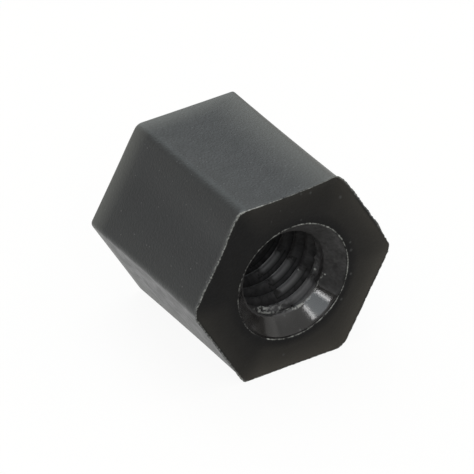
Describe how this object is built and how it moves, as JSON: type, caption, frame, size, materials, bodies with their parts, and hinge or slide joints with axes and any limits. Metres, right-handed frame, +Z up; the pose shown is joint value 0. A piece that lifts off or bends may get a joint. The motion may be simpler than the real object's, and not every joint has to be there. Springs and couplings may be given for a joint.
{
  "type": "hex standoff",
  "caption": "Short hexagonal plastic spacer with a threaded through hole, countersunk at both ends, that holds a board off a panel.",
  "frame": {"origin": "on the surface that the standoff lies on, under the middle of the body", "axes": "+Y along the threaded hole towards the back end, +Z up out of the top flat, +X towards one long corner"},
  "size_m": [0.008, 0.007, 0.007],
  "materials": {
    "black_nylon": "black nylon 6/6, slightly mottled satin on the flats, as cut on the end face"
  },
  "bodies": {
    "root": {"standoff": "black_nylon"}
  },
  "joints": []
}
